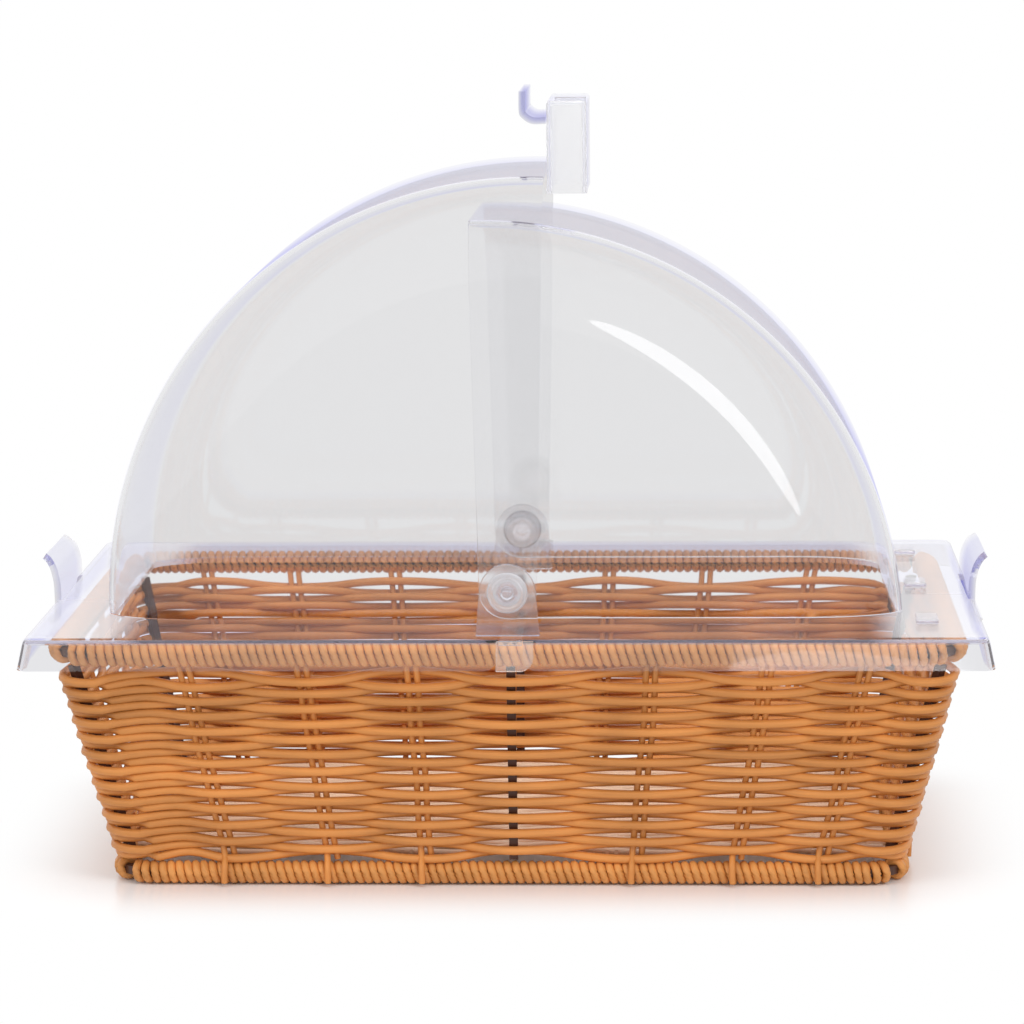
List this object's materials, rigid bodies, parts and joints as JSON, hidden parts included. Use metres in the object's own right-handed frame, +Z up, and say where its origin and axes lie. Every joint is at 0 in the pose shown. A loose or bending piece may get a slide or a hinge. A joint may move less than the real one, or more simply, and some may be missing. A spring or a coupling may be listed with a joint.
{
  "type": "bread display basket",
  "caption": "Woven tapered countertop basket with a clear roll-top cover in two nesting halves that turn on one hinge line.",
  "frame": {"origin": "middle of the object in plan, at the level of the surface that it stands on", "axes": "+X to the right as seen from the front, +Y to the back along the hinge line, +Z up"},
  "size_m": [0.5678, 0.358, 0.4566],
  "materials": {
    "woven_polyrattan": "woven round strand, tan brown",
    "wound_polyrattan": "wound round strand, tan brown",
    "pale_polyrattan": "woven floor, pale tan",
    "painted_brown_steel": "dark brown paint",
    "clear_polycarbonate": "clear, polished",
    "clear_moulded_plastic": "clear, moulded"
  },
  "bodies": {
    "basket": {"basket_wall": "woven_polyrattan", "basket_floor": "pale_polyrattan", "rim_wrap": "wound_polyrattan", "foot_wrap": "wound_polyrattan", "foot_ring": "painted_brown_steel", "rim_ring": "painted_brown_steel", "frame_post_front": "painted_brown_steel", "frame_post_back": "painted_brown_steel", "frame_post_front_left": "painted_brown_steel", "frame_post_front_right": "painted_brown_steel", "frame_post_back_left": "painted_brown_steel", "frame_post_back_right": "painted_brown_steel", "hinge_bracket_front": "clear_moulded_plastic", "hinge_stud_front": "clear_moulded_plastic", "hinge_washer_front": "clear_moulded_plastic", "hinge_cap_front": "clear_moulded_plastic", "hinge_bracket_back": "clear_moulded_plastic", "hinge_stud_back": "clear_moulded_plastic", "hinge_washer_back": "clear_moulded_plastic", "hinge_cap_back": "clear_moulded_plastic"},
    "outer_cover": {"outer_hood": "clear_polycarbonate", "outer_flange": "clear_polycarbonate", "outer_handle": "clear_moulded_plastic", "top_grip": "clear_moulded_plastic"},
    "inner_cover": {"inner_hood": "clear_polycarbonate", "inner_flange": "clear_polycarbonate", "inner_handle": "clear_moulded_plastic"}
  },
  "joints": [
    {"name": "outer_cover_hinge", "type": "hinge", "parent": "basket", "child": "outer_cover", "pos_m": [0, 0, 0.1711], "axis": [0, 1, 0], "range_deg": [0, 38]},
    {"name": "inner_cover_hinge", "type": "hinge", "parent": "basket", "child": "inner_cover", "pos_m": [0, 0, 0.1711], "axis": [0, -1, 0], "range_deg": [0, 38]}
  ]
}
